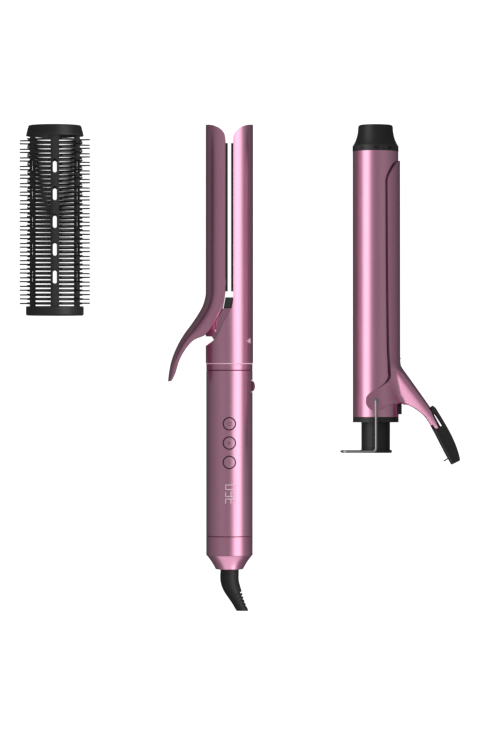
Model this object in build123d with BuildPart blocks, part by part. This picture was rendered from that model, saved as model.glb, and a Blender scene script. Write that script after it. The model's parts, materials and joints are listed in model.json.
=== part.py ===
from build123d import *
from math import asin, cos, radians, sin, sqrt
import os

# A three-piece hair styling set lying on a table: a brush sleeve, a straightener on its
# handle, and a curling barrel. Millimetres, +Z up, the long axes along Y.

# Driving dimensions: brush sleeve
BRUSH_X = -129.2
BRUSH_R = 18.7
BRUSH_WALL = 1.3
BRISTLE_TIP_R = 25.6
BRISTLE_R = 0.55
BAR_COUNT = 6
BAR_WIDTH = 6.0
ROW_ANGLE = 12.0
HOOP_COUNT = 39
HOOP_PITCH = 2.995
HOOP_HEIGHT = 1.45
HOOP_MIDDLE = 102.0
SLOT_PITCH = 19.25
BRUSH_ROLL = 2.9

# Driving dimensions: straightener and handle
STYLER_X = -7.4
HEAD_R = 16.6
HANDLE_R = 16.25
SHELL_WALL = 1.6
HANDLE_WALL = 1.8
JAW_TOP = 170.2
HEAD_BOTTOM = 3.4
HANDLE_TOP = -2.0
HANDLE_BOTTOM = -117.2
BAND_BOTTOM = -131.1
SPLIT = 2.7
PLATE_FACE = 1.2
PLATE_TOP = 156.7
PLATE_LENGTH = 102.8
CLAMP_PIVOT = (-9.3, 22.4)
BUTTON_STATIONS = (-38.8, -52.2, -65.7)
BUTTON_R = 3.85
BUTTON_RING_R = 4.7
SCREW_STATIONS = (-30.0, -75.0, -110.0)
BOOT_TURN = 25.3

# Driving dimensions: the stub that both attachments share
STUB_R = 10.05
STUB_LENGTH = 19.3
LIP_R = 11.3
LIP_HEIGHT = 2.1
STUB_BORE = 8.0
CONTACT_CIRCLE = 4.5

# Driving dimensions: curling barrel
CURLER_X = 94.9
BARREL_R = 16.0
BARREL_WALL = 1.4
BARREL_TOP = 151.4
BARREL_BOTTOM = -34.3
TIP_BAND_R = 16.1
TIP_BAND_TOP = 155.4
CLIP_INNER_R = 16.3
CLIP_WALL = 0.9
CLIP_PIVOT = (-0.4, -23.0)
EAR_R = 7.2
WIRE_R = 0.9
LEG_Z = 18.3
STAND_END = -58.4
STAND_FOOT_X = -23.4

# Places that follow from them
LOWEST_ROW = radians(ROW_ANGLE - BRUSH_ROLL)
BRUSH_Z = BRISTLE_TIP_R * cos(LOWEST_ROW) + BRISTLE_R * sin(LOWEST_ROW)
ROLL = radians(BRUSH_ROLL)
TILT = asin((LEG_Z + WIRE_R - TIP_BAND_R) / (TIP_BAND_TOP - CLIP_PIVOT[1]))
CURLER_Z = TIP_BAND_R + TIP_BAND_TOP * sin(TILT)
BRISTLE_LENGTH = BRISTLE_TIP_R - BRUSH_R

brush = Plane(
    origin=(BRUSH_X, 0, BRUSH_Z),
    x_dir=(cos(ROLL), 0, -sin(ROLL)),
    z_dir=(sin(ROLL), 0, cos(ROLL)),
)
styler = Plane(origin=(STYLER_X, 0, HEAD_R))
curler = Plane(origin=(CURLER_X, 0, CURLER_Z), x_dir=(1, 0, 0), z_dir=(0, sin(TILT), cos(TILT)))

os.makedirs("parts", exist_ok=True)
nodes = {}


def across(frame, station):
    """The plane across a frame's long axis at a station; extruding goes toward lower stations."""
    return Plane(origin=frame.from_local_coords((0, station, 0)), x_dir=frame.x_dir, z_dir=-frame.y_dir)


def facing(frame, angle, radius, station):
    """The plane that faces outward at an angle about the long axis, its x along the axis."""
    out = frame.x_dir * cos(radians(angle)) + frame.z_dir * sin(radians(angle))
    origin = frame.from_local_coords((0, station, 0)) + out * radius
    return Plane(origin=origin, x_dir=frame.y_dir, z_dir=out)


def raised(frame, height):
    """A frame's own plane, moved along its normal."""
    return frame.offset(height)


def turned(frame, points, mode=Mode.ADD):
    """Turns a closed outline of (radius, station) points about a frame's long axis."""
    with BuildSketch(frame, mode=Mode.PRIVATE) as outline:
        with BuildLine():
            Polyline(*points, close=True)
        make_face()
    revolve(outline.sketch, axis=Axis(frame.origin, frame.y_dir), mode=mode)


def tube(frame, outer, inner, top, bottom, mode=Mode.ADD):
    """A round tube about a frame's long axis."""
    turned(frame, [(inner, bottom), (outer, bottom), (outer, top), (inner, top)], mode)


def rod(plane, radius, amount, places=((0, 0),), mode=Mode.ADD):
    """Round rods that stand on a plane."""
    with BuildSketch(plane, mode=Mode.PRIVATE) as outline:
        with Locations(*places):
            Circle(radius)
    extrude(outline.sketch, amount=amount, mode=mode)


def slab(plane, points, amount, both=True, mode=Mode.ADD):
    """A plate of a straight-sided outline."""
    with BuildSketch(plane, mode=Mode.PRIVATE) as outline:
        with BuildLine():
            Polyline(*points, close=True)
        make_face()
    extrude(outline.sketch, amount=amount, both=both, mode=mode)


def block(plane, low, high, amount, both=False, mode=Mode.ADD):
    """A rectangular block between two corners of a plane."""
    slab(plane, [low, (high[0], low[1]), high, (low[0], high[1])], amount, both, mode)


def keep(piece, name):
    """Labels a finished sub-part and writes it."""
    piece.part.label = name
    nodes[name] = piece.part
    export_step(piece.part, f"parts/{name}.step")


def mirrored(points):
    """An outline on the other side of the long axis."""
    return [(-x, y) for x, y in points]


# ---------------------------------------------------------------- brush sleeve
hoop_low = HOOP_MIDDLE - HOOP_PITCH * (HOOP_COUNT - 1) / 2
hoop_stations = [hoop_low + HOOP_PITCH * i for i in range(HOOP_COUNT)]
bar_angles = [90 + 360 / BAR_COUNT * i for i in range(BAR_COUNT)]
COLLAR_BOTTOM = 161.8
COLLAR_TOP = 169.2
RING_TOP = 43.0
RING_BOTTOM = 36.6
BRUSH_BORE = BRUSH_R - BRUSH_WALL

with BuildPart() as brush_cage:
    with BuildSketch(*[across(brush, y + HOOP_HEIGHT / 2) for y in hoop_stations]):
        Circle(BRUSH_R)
        Circle(BRUSH_BORE, mode=Mode.SUBTRACT)
    extrude(amount=HOOP_HEIGHT)
    with BuildSketch(across(brush, COLLAR_BOTTOM)):
        with PolarLocations(BRUSH_R - BRUSH_WALL, BAR_COUNT, start_angle=90):
            Rectangle(BAR_WIDTH, BAR_WIDTH)
        Circle(BRUSH_R, mode=Mode.INTERSECT)
        Circle(BRUSH_BORE, mode=Mode.SUBTRACT)
    extrude(amount=COLLAR_BOTTOM - RING_TOP)
    slot_planes = [
        facing(brush, angle, BRUSH_R - 2 * BRUSH_WALL, HOOP_MIDDLE + SLOT_PITCH * i)
        for angle in bar_angles
        for i in (-2, -1, 0, 1, 2)
    ]
    with BuildSketch(*slot_planes):
        SlotOverall(9.8, 2.7)
    extrude(amount=3 * BRUSH_WALL, mode=Mode.SUBTRACT)
keep(brush_cage, "brush_cage")

with BuildPart() as brush_top_collar:
    turned(
        brush,
        [
            (BRUSH_BORE, COLLAR_BOTTOM),
            (20.1, COLLAR_BOTTOM),
            (20.0, COLLAR_BOTTOM + 0.9),
            (18.9, COLLAR_TOP - 1.9),
            (18.4, COLLAR_TOP - 0.5),
            (17.9, COLLAR_TOP),
            (BRUSH_BORE, COLLAR_TOP),
        ],
    )
keep(brush_top_collar, "brush_top_collar")

with BuildPart() as brush_bottom_ring:
    turned(
        brush,
        [
            (BRUSH_BORE, RING_BOTTOM),
            (19.5, RING_BOTTOM),
            (20.15, RING_BOTTOM + 0.7),
            (20.15, RING_TOP - 0.6),
            (19.8, RING_TOP),
            (BRUSH_BORE, RING_TOP),
        ],
    )
keep(brush_bottom_ring, "brush_bottom_ring")

with BuildPart() as brush_bristles:
    bristle_planes = [
        facing(brush, angle + side * ROW_ANGLE, BRUSH_R, y)
        for angle in bar_angles
        for side, first in ((-1, 0), (1, 1))
        for y in hoop_stations[first::2]
    ]
    with BuildSketch(*bristle_planes):
        Circle(BRISTLE_R)
    extrude(amount=BRISTLE_LENGTH, taper=0.5)
keep(brush_bristles, "brush_bristles")

# ---------------------------------------------------------------- straightener head
jaw_tip = [(SPLIT, 157.0), (4.1, 164.2), (7.0, 167.1), (11.3, 169.2), (17.2, JAW_TOP)]
jaw_cavity_outline = [
    (2.0, PLATE_TOP - PLATE_LENGTH - 0.1),
    (15.2, PLATE_TOP - PLATE_LENGTH - 0.1),
    (15.2, 165.5),
    (9.5, 165.5),
    (5.4, 160.0),
    (4.4, PLATE_TOP + 0.2),
    (2.0, PLATE_TOP + 0.2),
]
crease = [(-8.9, 21.6), (-7.3, 24.8), (-4.0, 32.2), (1.6, 41.7), (SPLIT, 47.6)]
base_slope = [(-17.2, 15.0), (-14.8, 16.7), (-12.0, 18.6)]
arm_edge = [
    (-2.8, 53.9),
    (-3.4, 49.2),
    (-4.8, 41.7),
    (-7.2, 37.2),
    (-9.2, 34.0),
    (-10.1, 30.8),
    (-9.9, 26.7),
    (-9.7, 22.1),
]
KNUCKLE_R = 2.9
TONGUE_Z = 4.8
LUG_Z = 9.0
PIN_R = 1.25
MARK = [(-2.0, -1.9), (2.0, -1.9), (0, 2.7)]

# A thin web of the head enters a slot of the arm, so the gap beside the hinge isn't open
WEB_Z = 0.9
web_edge = [(-11.6, 27.0), (-12.0, 30.8), (-11.0, 34.8), (-8.9, 38.2), (-6.5, 41.5)]
slot_edge = [(-12.9, 26.3), (-13.3, 31.0), (-12.3, 35.4), (-10.1, 39.0), (-7.6, 43.0)]
dust_web = [(-8.0, 27.0), *web_edge, (-2.5, 41.5)]
web_slot = [(-6.0, 26.3), *slot_edge, (-2.5, 43.0)]

with BuildPart() as jaw_cavity:
    slab(styler, jaw_cavity_outline, 18)
    rod(across(styler, 200), HEAD_R - SHELL_WALL, 200, mode=Mode.INTERSECT)

with BuildPart() as base_cavity:
    slab(
        styler,
        [
            (15.5, 5.0),
            (15.5, 52.2),
            (4.6, 52.2),
            (4.5, 47.4),
            (3.2, 41.0),
            (-2.5, 31.4),
            (-5.6, 24.6),
            (-7.2, 21.2),
            (-11.1, 17.2),
            (-15.5, 14.0),
            (-15.5, 5.0),
        ],
        18,
    )
    rod(across(styler, 200), HEAD_R - SHELL_WALL, 200, mode=Mode.INTERSECT)

with BuildPart() as head_housing:
    with BuildSketch(styler):
        with BuildLine():
            Spline(*jaw_tip, tangents=((0, 1), (1, 0.1)))
            Polyline(
                jaw_tip[-1],
                (17.2, HEAD_BOTTOM),
                (-17.2, HEAD_BOTTOM),
                *base_slope,
                *crease,
                jaw_tip[0],
            )
        make_face()
    extrude(amount=18, both=True)
    rod(across(styler, 200), HEAD_R, 200, mode=Mode.INTERSECT)
    add(jaw_cavity.part, mode=Mode.SUBTRACT)
    add(base_cavity.part, mode=Mode.SUBTRACT)
    rod(across(styler, 8), LIP_R + 0.1, 6, mode=Mode.SUBTRACT)
    rod(raised(styler, -LUG_Z - 0.3), KNUCKLE_R + 0.4, 2 * LUG_Z + 0.6, (CLAMP_PIVOT,), Mode.SUBTRACT)
    slab(facing(styler, 34.4, HEAD_R - 0.3, 18.9), MARK, 1, False, Mode.SUBTRACT)
keep(head_housing, "head_housing")

with BuildPart() as lock_mark:
    slab(facing(styler, 34.4, HEAD_R - 0.3, 18.9), MARK, 1, False)
    rod(across(styler, 200), HEAD_R + 0.05, 200, mode=Mode.INTERSECT)
keep(lock_mark, "lock_mark")

with BuildPart() as hinge_cheeks:
    slab(
        styler,
        [
            (1.4, 41.5),
            (-4.15, 32.2),
            (-7.45, 24.8),
            (-8.9, 22.0),
            (-9.5, 26.7),
            (-9.7, 30.8),
            (-8.75, 33.8),
            (-6.65, 37.0),
            (-4.2, 41.5),
        ],
        18,
    )
    slab(styler, dust_web, WEB_Z)
    rod(across(styler, 60), HEAD_R - 0.5, 60, mode=Mode.INTERSECT)
    rod(raised(styler, -LUG_Z), KNUCKLE_R, 2 * LUG_Z, (CLAMP_PIVOT,))
    rod(raised(styler, -TONGUE_Z - 0.2), KNUCKLE_R + 0.4, 2 * TONGUE_Z + 0.4, (CLAMP_PIVOT,), Mode.SUBTRACT)
    rod(raised(styler, -18), PIN_R, 36, (CLAMP_PIVOT,), Mode.SUBTRACT)
keep(hinge_cheeks, "hinge_cheeks")

with BuildPart() as hinge_pin:
    rod(raised(styler, -LUG_Z), PIN_R, 2 * LUG_Z, (CLAMP_PIVOT,))
keep(hinge_pin, "hinge_pin")

with BuildPart() as guard_block:
    slab(styler, [(-2.75, 49.2), (SPLIT - 0.1, 49.2), (SPLIT - 0.1, 47.6), (1.4, 41.7), (-4.1, 41.7)], 15.5)
    rod(across(styler, 60), HEAD_R - 1.2, 60, mode=Mode.INTERSECT)
keep(guard_block, "guard_block")


def plate_set(side, plate_name, carrier_name, heater_name):
    """A heating plate, the carrier behind it and the ceramic heater behind that."""
    with BuildPart() as plate:
        inner_face = side * (SPLIT + 0.2)
        block(across(styler, PLATE_TOP), (side * PLATE_FACE, -13.4), (inner_face, 13.4), PLATE_LENGTH)
        long_edges = plate.edges().filter_by(Axis.Y)
        fillet(long_edges.sort_by(Axis.X)[:2] if side > 0 else long_edges.sort_by(Axis.X)[-2:], 0.6)
    keep(plate, plate_name)
    with BuildPart() as carrier:
        block(across(styler, 156.4), (side * (SPLIT + 0.2), -12.6), (side * 5.6, 12.6), 100.4)
        block(across(styler, 145.5), (side * 4.0, -8.1), (side * 6.0, 8.1), 76, mode=Mode.SUBTRACT)
    keep(carrier, carrier_name)
    with BuildPart() as heater:
        block(across(styler, 145.0), (side * 4.0, -7.8), (side * 6.2, 7.8), 75)
    keep(heater, heater_name)


plate_set(1, "fixed_plate", "fixed_plate_carrier", "fixed_heater")
plate_set(-1, "moving_plate", "moving_plate_carrier", "moving_heater")


def stub(frame, shoulder, points):
    """An attachment's plug: its own shoulder outline, then the shared stub, lip and hollow."""
    end = shoulder - STUB_LENGTH - LIP_HEIGHT
    turned(
        frame,
        [
            *points,
            (STUB_R, shoulder),
            (STUB_R, shoulder - STUB_LENGTH),
            (LIP_R, shoulder - STUB_LENGTH),
            (LIP_R, end + 0.4),
            (LIP_R - 0.4, end),
            (STUB_BORE, end),
            (STUB_BORE, shoulder - 6),
            (0, shoulder - 6),
        ],
    )


def contact_places():
    """The four contacts of the plug, on a circle."""
    return [(CONTACT_CIRCLE * x, CONTACT_CIRCLE * z) for x, z in ((1, 0), (0, 1), (-1, 0), (0, -1))]


with BuildPart() as head_plug:
    stub(styler, HEAD_BOTTOM, [(0, 8.0), (14.8, 8.0), (14.8, 5.0), (LIP_R, 5.0), (LIP_R, HEAD_BOTTOM)])
keep(head_plug, "head_plug")

with BuildPart() as head_contacts:
    rod(across(styler, HEAD_BOTTOM - 6), 0.9, 8.5, contact_places())
keep(head_contacts, "head_contacts")

# The clamp arm: half-round jaw, then a lever that sweeps out and back along the handle.
# Each lever section is a half ellipse between a point of the outer edge and one of the inner.
lever_sections = [
    ((-16.4, 62.0), (-2.8, 62.0), 16.15),
    ((-16.45, 56.0), (-2.9, 56.0), 16.15),
    ((-17.2, 48.5), (-4.6, 46.5), 15.95),
    ((-19.3, 42.3), (-7.6, 38.6), 15.6),
    ((-22.6, 36.6), (-11.4, 31.0), 15.0),
    ((-26.4, 31.0), (-15.5, 24.6), 14.1),
    ((-30.2, 25.9), (-22.8, 20.8), 13.0),
    ((-33.6, 20.8), (-27.7, 17.3), 12.1),
    ((-36.8, 14.9), (-31.3, 12.6), 11.3),
    ((-39.4, 8.8), (-34.2, 7.6), 10.7),
    ((-41.4, 2.0), (-36.5, 1.4), 10.1),
    ((-42.5, -4.4), (-38.2, -4.2), 9.3),
    ((-42.9, -9.6), (-40.6, -9.0), 8.0),
]


def half_ellipse(frame, outer, inner, half_width):
    """The plane and depth of a section between two points of a plan outline."""
    start = frame.from_local_coords((inner[0], inner[1], 0))
    end = frame.from_local_coords((outer[0], outer[1], 0))
    depth = (end - start).length
    plane = Plane(origin=start, x_dir=end - start, z_dir=(end - start).cross(frame.z_dir))
    with BuildSketch(plane, mode=Mode.PRIVATE) as section_face:
        with BuildLine():
            EllipticalCenterArc((0, 0), depth, half_width, start_angle=-90, arc_size=180)
            Line((0, half_width), (0, -half_width))
        make_face()
    return section_face.sketch.faces()[0]


mid_plane = Plane(origin=styler.origin, z_dir=(1, 0, 0))
arm_cavity = mirror(jaw_cavity.part, about=mid_plane)

with BuildPart() as clamp_arm:
    with BuildSketch(styler):
        with BuildLine():
            Spline(*mirrored(jaw_tip), tangents=((0, 1), (-1, 0.1)))
            Polyline(mirrored(jaw_tip)[-1], (-17.2, 22.1), *reversed(arm_edge), (-SPLIT, 157.0))
        make_face()
    extrude(amount=18, both=True)
    rod(across(styler, 200), HEAD_R, 200, mode=Mode.INTERSECT)
    loft([half_ellipse(styler, *s) for s in lever_sections])
    add(arm_cavity, mode=Mode.SUBTRACT)
    slab(styler, web_slot, WEB_Z + 0.4, mode=Mode.SUBTRACT)
    rod(raised(styler, -LUG_Z - 0.2), KNUCKLE_R + 0.4, 2 * LUG_Z + 0.4, (CLAMP_PIVOT,), Mode.SUBTRACT)
    rod(raised(styler, -TONGUE_Z), KNUCKLE_R, 2 * TONGUE_Z, (CLAMP_PIVOT,))
    block(raised(styler, -TONGUE_Z), (-14.5, CLAMP_PIVOT[1] - 0.3), (CLAMP_PIVOT[0], 25.1), 2 * TONGUE_Z)
    rod(raised(styler, -18), PIN_R + 0.06, 36, (CLAMP_PIVOT,), Mode.SUBTRACT)
keep(clamp_arm, "clamp_arm")

# ---------------------------------------------------------------- handle
HANDLE_BORE = HANDLE_R - HANDLE_WALL
BUTTON_Z = 13.2
BOARD_TOP = 8.8
DIGIT_LOW = -94.6
DIGIT_PITCH = 4.9
DIGIT_TALL = 7.6
DIGIT_WIDE = 3.7
DIGIT_X = 1.0
SEGMENT = 0.5

with BuildPart() as handle_collar:
    turned(
        styler,
        [
            (11.6, HANDLE_TOP),
            (15.7, HANDLE_TOP),
            (15.7, HANDLE_TOP + 0.5),
            (16.2, HANDLE_TOP + 0.8),
            (16.2, 2.7),
            (15.9, 2.9),
            (15.9, HEAD_BOTTOM),
            (11.6, HEAD_BOTTOM),
        ],
    )
keep(handle_collar, "handle_collar")

segments = {
    "top": [(0, DIGIT_TALL / 2), True],
    "middle": [(0, 0), True],
    "bottom": [(0, -DIGIT_TALL / 2), True],
    "upper_left": [(-DIGIT_WIDE / 2, DIGIT_TALL / 4), False],
    "upper_right": [(DIGIT_WIDE / 2, DIGIT_TALL / 4), False],
    "lower_left": [(-DIGIT_WIDE / 2, -DIGIT_TALL / 4), False],
    "lower_right": [(DIGIT_WIDE / 2, -DIGIT_TALL / 4), False],
}
shapes = {
    "3": ("top", "middle", "bottom", "upper_right", "lower_right"),
    "6": ("top", "middle", "bottom", "upper_left", "lower_left", "lower_right"),
    "0": ("top", "bottom", "upper_left", "upper_right", "lower_left", "lower_right"),
}

with BuildPart() as display_digits:
    for i, digit in enumerate("360"):
        centre = styler.from_local_coords((DIGIT_X, DIGIT_LOW + DIGIT_PITCH * i + DIGIT_WIDE / 2, 14))
        with BuildSketch(Plane(origin=centre, x_dir=(0, 1, 0), z_dir=(0, 0, 1))):
            for name in shapes[digit]:
                (x, y), lies = segments[name]
                length = DIGIT_WIDE - SEGMENT if lies else DIGIT_TALL / 2
                with Locations((x * (1 - SEGMENT / DIGIT_WIDE), y * (1 - SEGMENT / DIGIT_TALL))):
                    Rectangle(length if lies else SEGMENT, SEGMENT if lies else length)
        extrude(amount=4)
    tube(styler, HANDLE_R + 0.05, HANDLE_R - 0.25, -70, -110, Mode.INTERSECT)
keep(display_digits, "display_digits")

with BuildPart() as handle_front_shell:
    tube(styler, HANDLE_R, HANDLE_BORE, HANDLE_TOP, HANDLE_BOTTOM)
    block(raised(styler, -20), (-20, HANDLE_BOTTOM - 1), (20, HANDLE_TOP + 1), 20, mode=Mode.SUBTRACT)
    rod(raised(styler, 10), BUTTON_RING_R + 0.03, 10, [(0, y) for y in BUTTON_STATIONS], Mode.SUBTRACT)
    block(raised(styler, -5.8), (12, -16.9), (20, -8.5), 11.6, mode=Mode.SUBTRACT)
    add(display_digits.part, mode=Mode.SUBTRACT)
keep(handle_front_shell, "handle_front_shell")

with BuildPart() as handle_rear_shell:
    tube(styler, HANDLE_R, HANDLE_BORE, HANDLE_TOP, HANDLE_BOTTOM)
    block(raised(styler, 20), (-20, HANDLE_BOTTOM - 1), (20, HANDLE_TOP + 1), -20, mode=Mode.SUBTRACT)
    block(raised(styler, -5.8), (12, -16.9), (20, -8.5), 11.6, mode=Mode.SUBTRACT)
    rod(raised(styler, -15.2), 3.6, 2.8, [(0, y) for y in SCREW_STATIONS])
    rod(raised(styler, -20), 1.4, 10, [(0, y) for y in SCREW_STATIONS], Mode.SUBTRACT)
    rod(raised(styler, -20), 2.8, 6, [(0, y) for y in SCREW_STATIONS], Mode.SUBTRACT)
keep(handle_rear_shell, "handle_rear_shell")

with BuildPart() as handle_screws:
    rod(raised(styler, -15.7), 2.6, 1.7, [(0, y) for y in SCREW_STATIONS])
    rod(raised(styler, -14.0), 1.25, 19.5, [(0, y) for y in SCREW_STATIONS])
    with BuildSketch(raised(styler, -15.7)):
        with Locations(*[(0, y) for y in SCREW_STATIONS]):
            Rectangle(3.0, 0.7)
            Rectangle(0.7, 3.0)
    extrude(amount=0.8, mode=Mode.SUBTRACT)
keep(handle_screws, "handle_screws")

with BuildPart() as inner_chassis:
    block(raised(styler, 5.6), (-12.0, -114.0), (12.0, -27.0), 1.5)
    block(raised(styler, 3.6), (-12.0, -114.0), (-10.4, -27.0), 2.1)
    block(raised(styler, 3.6), (10.4, -114.0), (12.0, -27.0), 2.1)
    rod(raised(styler, -12.2), 2.8, 18, [(0, y) for y in SCREW_STATIONS])
    rod(raised(styler, -12.3), 1.35, 20, [(0, y) for y in SCREW_STATIONS], Mode.SUBTRACT)
keep(inner_chassis, "inner_chassis")

with BuildPart() as control_board:
    block(raised(styler, 7.2), (-10.9, -112.0), (10.9, -29.0), BOARD_TOP - 7.2)
    rod(raised(styler, 7), 1.5, 3, [(0, y) for y in SCREW_STATIONS], Mode.SUBTRACT)
keep(control_board, "control_board")

with BuildPart() as board_parts:
    block(raised(styler, BOARD_TOP), (-7.0, -106.0), (-2.5, -99.0), 3.0)
    block(raised(styler, BOARD_TOP), (2.0, -107.0), (7.0, -102.0), 2.4)
    block(raised(styler, BOARD_TOP), (-6.5, -49.0), (-4.5, -43.0), 1.4)
    rod(raised(styler, BOARD_TOP), 2.5, 2.8, [(5.5, -33.0)])
    rod(raised(styler, BOARD_TOP), 1.6, 2.4, [(-6.5, -34.0), (-6.5, -74.0)])
keep(board_parts, "board_parts")

with BuildPart() as display_module:
    block(raised(styler, BOARD_TOP), (-4.2, -97.0), (3.0, -79.0), 4.8)
    fillet(display_module.edges().filter_by(Axis.Z), 0.6)
keep(display_module, "display_module")

with BuildPart() as tact_switches:
    for y in BUTTON_STATIONS:
        block(raised(styler, BOARD_TOP), (-2.6, y - 2.6), (2.6, y + 2.6), 1.1)
    rod(raised(styler, BOARD_TOP + 1.1), 1.1, 0.4, [(0, y) for y in BUTTON_STATIONS])
keep(tact_switches, "tact_switches")

with BuildPart() as button_rings:
    with BuildSketch(raised(styler, 13.9)):
        with Locations(*[(0, y) for y in BUTTON_STATIONS]):
            Circle(BUTTON_RING_R)
            Circle(BUTTON_R + 0.1, mode=Mode.SUBTRACT)
    extrude(amount=4)
    rod(across(styler, -20), HANDLE_R + 0.06, 70, mode=Mode.INTERSECT)
keep(button_rings, "button_rings")

for name, y in zip(("power_button", "plus_button", "minus_button"), BUTTON_STATIONS):
    with BuildPart() as cap:
        rod(raised(styler, BUTTON_Z), BUTTON_R, 5, [(0, y)])
        rod(across(styler, y + 10), HANDLE_R + 0.3, 20, mode=Mode.INTERSECT)
        rod(raised(styler, BUTTON_Z - 1.0), BUTTON_RING_R + 0.1, 1.0, [(0, y)])
        rod(raised(styler, BOARD_TOP + 2.1), 1.5, 1.5, [(0, y)])
    keep(cap, name)

# Socket for the attachments, its latch and the release button
guide_bottom = HEAD_BOTTOM - STUB_LENGTH + 2.5
latch_top = guide_bottom - 0.2
latch_bottom = HEAD_BOTTOM - STUB_LENGTH + 0.1
floor_top = HEAD_BOTTOM - STUB_LENGTH - LIP_HEIGHT - 0.3

with BuildPart() as socket_guide:
    tube(styler, 14.3, LIP_R + 0.2, HANDLE_TOP, guide_bottom)
    block(raised(styler, -6.3), (12.2, guide_bottom - 1), (16, HANDLE_TOP - 6), 12.6, mode=Mode.SUBTRACT)
keep(socket_guide, "socket_guide")

with BuildPart() as socket_base:
    turned(
        styler,
        [
            (LIP_R + 0.2, latch_bottom - 0.2),
            (14.3, latch_bottom - 0.2),
            (14.3, floor_top - 3),
            (0, floor_top - 3),
            (0, -8.5),
            (STUB_BORE - 0.6, -8.5),
            (STUB_BORE - 0.6, floor_top),
            (LIP_R + 0.2, floor_top),
        ],
    )
    rod(across(styler, -8), 1.3, 8, contact_places(), Mode.SUBTRACT)
    block(raised(styler, -6.3), (12.4, floor_top), (16, latch_bottom + 1), 12.6, mode=Mode.SUBTRACT)
keep(socket_base, "socket_base")

with BuildPart() as socket_contacts:
    with BuildSketch(across(styler, -9)):
        with Locations(*contact_places()):
            Circle(1.3)
            Circle(0.95, mode=Mode.SUBTRACT)
    extrude(amount=6.9)
keep(socket_contacts, "socket_contacts")

with BuildPart() as latch_slider:
    with BuildSketch(across(styler, latch_top)):
        with Locations((0.8, 0)):
            Circle(13.1)
        with Locations((13.0, 0)):
            Rectangle(2.0, 8.0)
        with Locations((0.5, 0)):
            Circle(12.1, mode=Mode.SUBTRACT)
    extrude(amount=latch_top - latch_bottom)
keep(latch_slider, "latch_slider")

with BuildPart() as latch_spring:
    with BuildSketch(across(styler, latch_top - 0.3)):
        with BuildLine():
            bowed_out = [(-13.2, -5.2), (-12.45, 0), (-13.2, 5.2)]
            Polyline(*bowed_out, (-13.45, 5.1), (-12.75, 0), (-13.45, -5.1), close=True)
        make_face()
    extrude(amount=latch_top - latch_bottom - 0.6)
keep(latch_spring, "latch_spring")

with BuildPart() as release_button:
    with BuildSketch(styler):
        with BuildLine():
            Polyline((15.7, -8.8), (14.0, -8.8), (14.0, -16.6), (15.7, -16.6))
            Spline((15.7, -16.6), (17.3, -15.4), (17.9, -12.7), (17.3, -10.0), (15.7, -8.8))
        make_face()
    extrude(amount=5.5, both=True)
    fillet(release_button.edges().filter_by(GeomType.BSPLINE), 1.2)
keep(release_button, "release_button")

# Tail: band, cap and the swivelling strain relief
with BuildPart() as tail_band:
    turned(
        styler,
        [
            (13.6, HANDLE_BOTTOM),
            (15.8, HANDLE_BOTTOM),
            (15.8, HANDLE_BOTTOM - 0.35),
            (HANDLE_R, HANDLE_BOTTOM - 0.65),
            (HANDLE_R, BAND_BOTTOM + 0.3),
            (HANDLE_R - 0.3, BAND_BOTTOM),
            (13.6, BAND_BOTTOM),
        ],
    )
keep(tail_band, "tail_band")

with BuildPart() as slip_contacts:
    tube(styler, 13.5, 3.0, -124.0, -126.0)
    tube(styler, 8.0, 7.0, -126.0, -128.0)
    tube(styler, 5.0, 4.0, -126.0, -128.0)
keep(slip_contacts, "slip_contacts")

with BuildPart() as tail_cap:
    with BuildSketch(styler):
        with BuildLine():
            Spline((HANDLE_R - 0.3, BAND_BOTTOM), (13.2, -134.6), (11.1, -137.9), (9.7, -140.5))
            Polyline(
                (9.7, -140.5),
                (9.3, -140.8),
                (5.3, -140.8),
                (5.3, -134.6),
                (9.2, -134.6),
                (9.2, BAND_BOTTOM),
                (HANDLE_R - 0.3, BAND_BOTTOM),
            )
        make_face()
    revolve(axis=Axis(styler.origin, styler.y_dir))
keep(tail_cap, "tail_cap")

with BuildPart() as swivel_bush:
    tube(styler, 8.8, 3.2, -128.4, -134.2)
keep(swivel_bush, "swivel_bush")

BEND = radians(BOOT_TURN)
BOOT_END = -169.9
boot_sections = [
    ((0.0, -141.0), 0.0, 6.5),
    ((0.0, -146.8), 0.0, 6.5),
    ((0.5, -150.6), 0.45, 6.35),
    ((2.1, -154.9), 0.9, 5.9),
    ((5.1, -161.2), 1.0, 4.75),
    ((9.1, -169.7), 1.0, 3.85),
    ((11.0, -173.7), 1.0, 3.5),
]


def boot_plane(station, share):
    """The plane across the boot where its line has turned by a share of the whole bend."""
    along = Vector(sin(BEND * share), -cos(BEND * share), 0)
    origin = styler.from_local_coords((station[0], station[1], 0))
    return Plane(origin=origin, x_dir=(0, 0, 1), z_dir=along)


with BuildPart() as cord_boot:
    rod(across(styler, -134.2), 5.1, 6.9)
    boot_faces = []
    for station, share, radius in boot_sections:
        with BuildSketch(boot_plane(station, share), mode=Mode.PRIVATE) as boot_face:
            Circle(radius)
        boot_faces.append(boot_face.sketch.faces()[0])
    loft(boot_faces)
    for i in range(5):
        away = 1.3 + 2.45 * i
        at = (3.3 + away * sin(BEND), -157.4 - away * cos(BEND))
        with BuildSketch(boot_plane(at, 1.0)):
            Circle(7)
            Circle(3.9 - 0.1 * i, mode=Mode.SUBTRACT)
            with Locations((0, 6.0)):
                Rectangle(20, 12, mode=Mode.SUBTRACT)
        extrude(amount=1.05, mode=Mode.SUBTRACT)
    block(raised(styler, -10), (0, BOOT_END - 10), (25, BOOT_END), 20, mode=Mode.SUBTRACT)
    rod(boot_plane((9.2, BOOT_END), 1.0), 2.9, -6, mode=Mode.SUBTRACT)
    rod(boot_plane((9.2, BOOT_END), 1.0), 2.9, 3, mode=Mode.SUBTRACT)
keep(cord_boot, "cord_boot")

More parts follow.
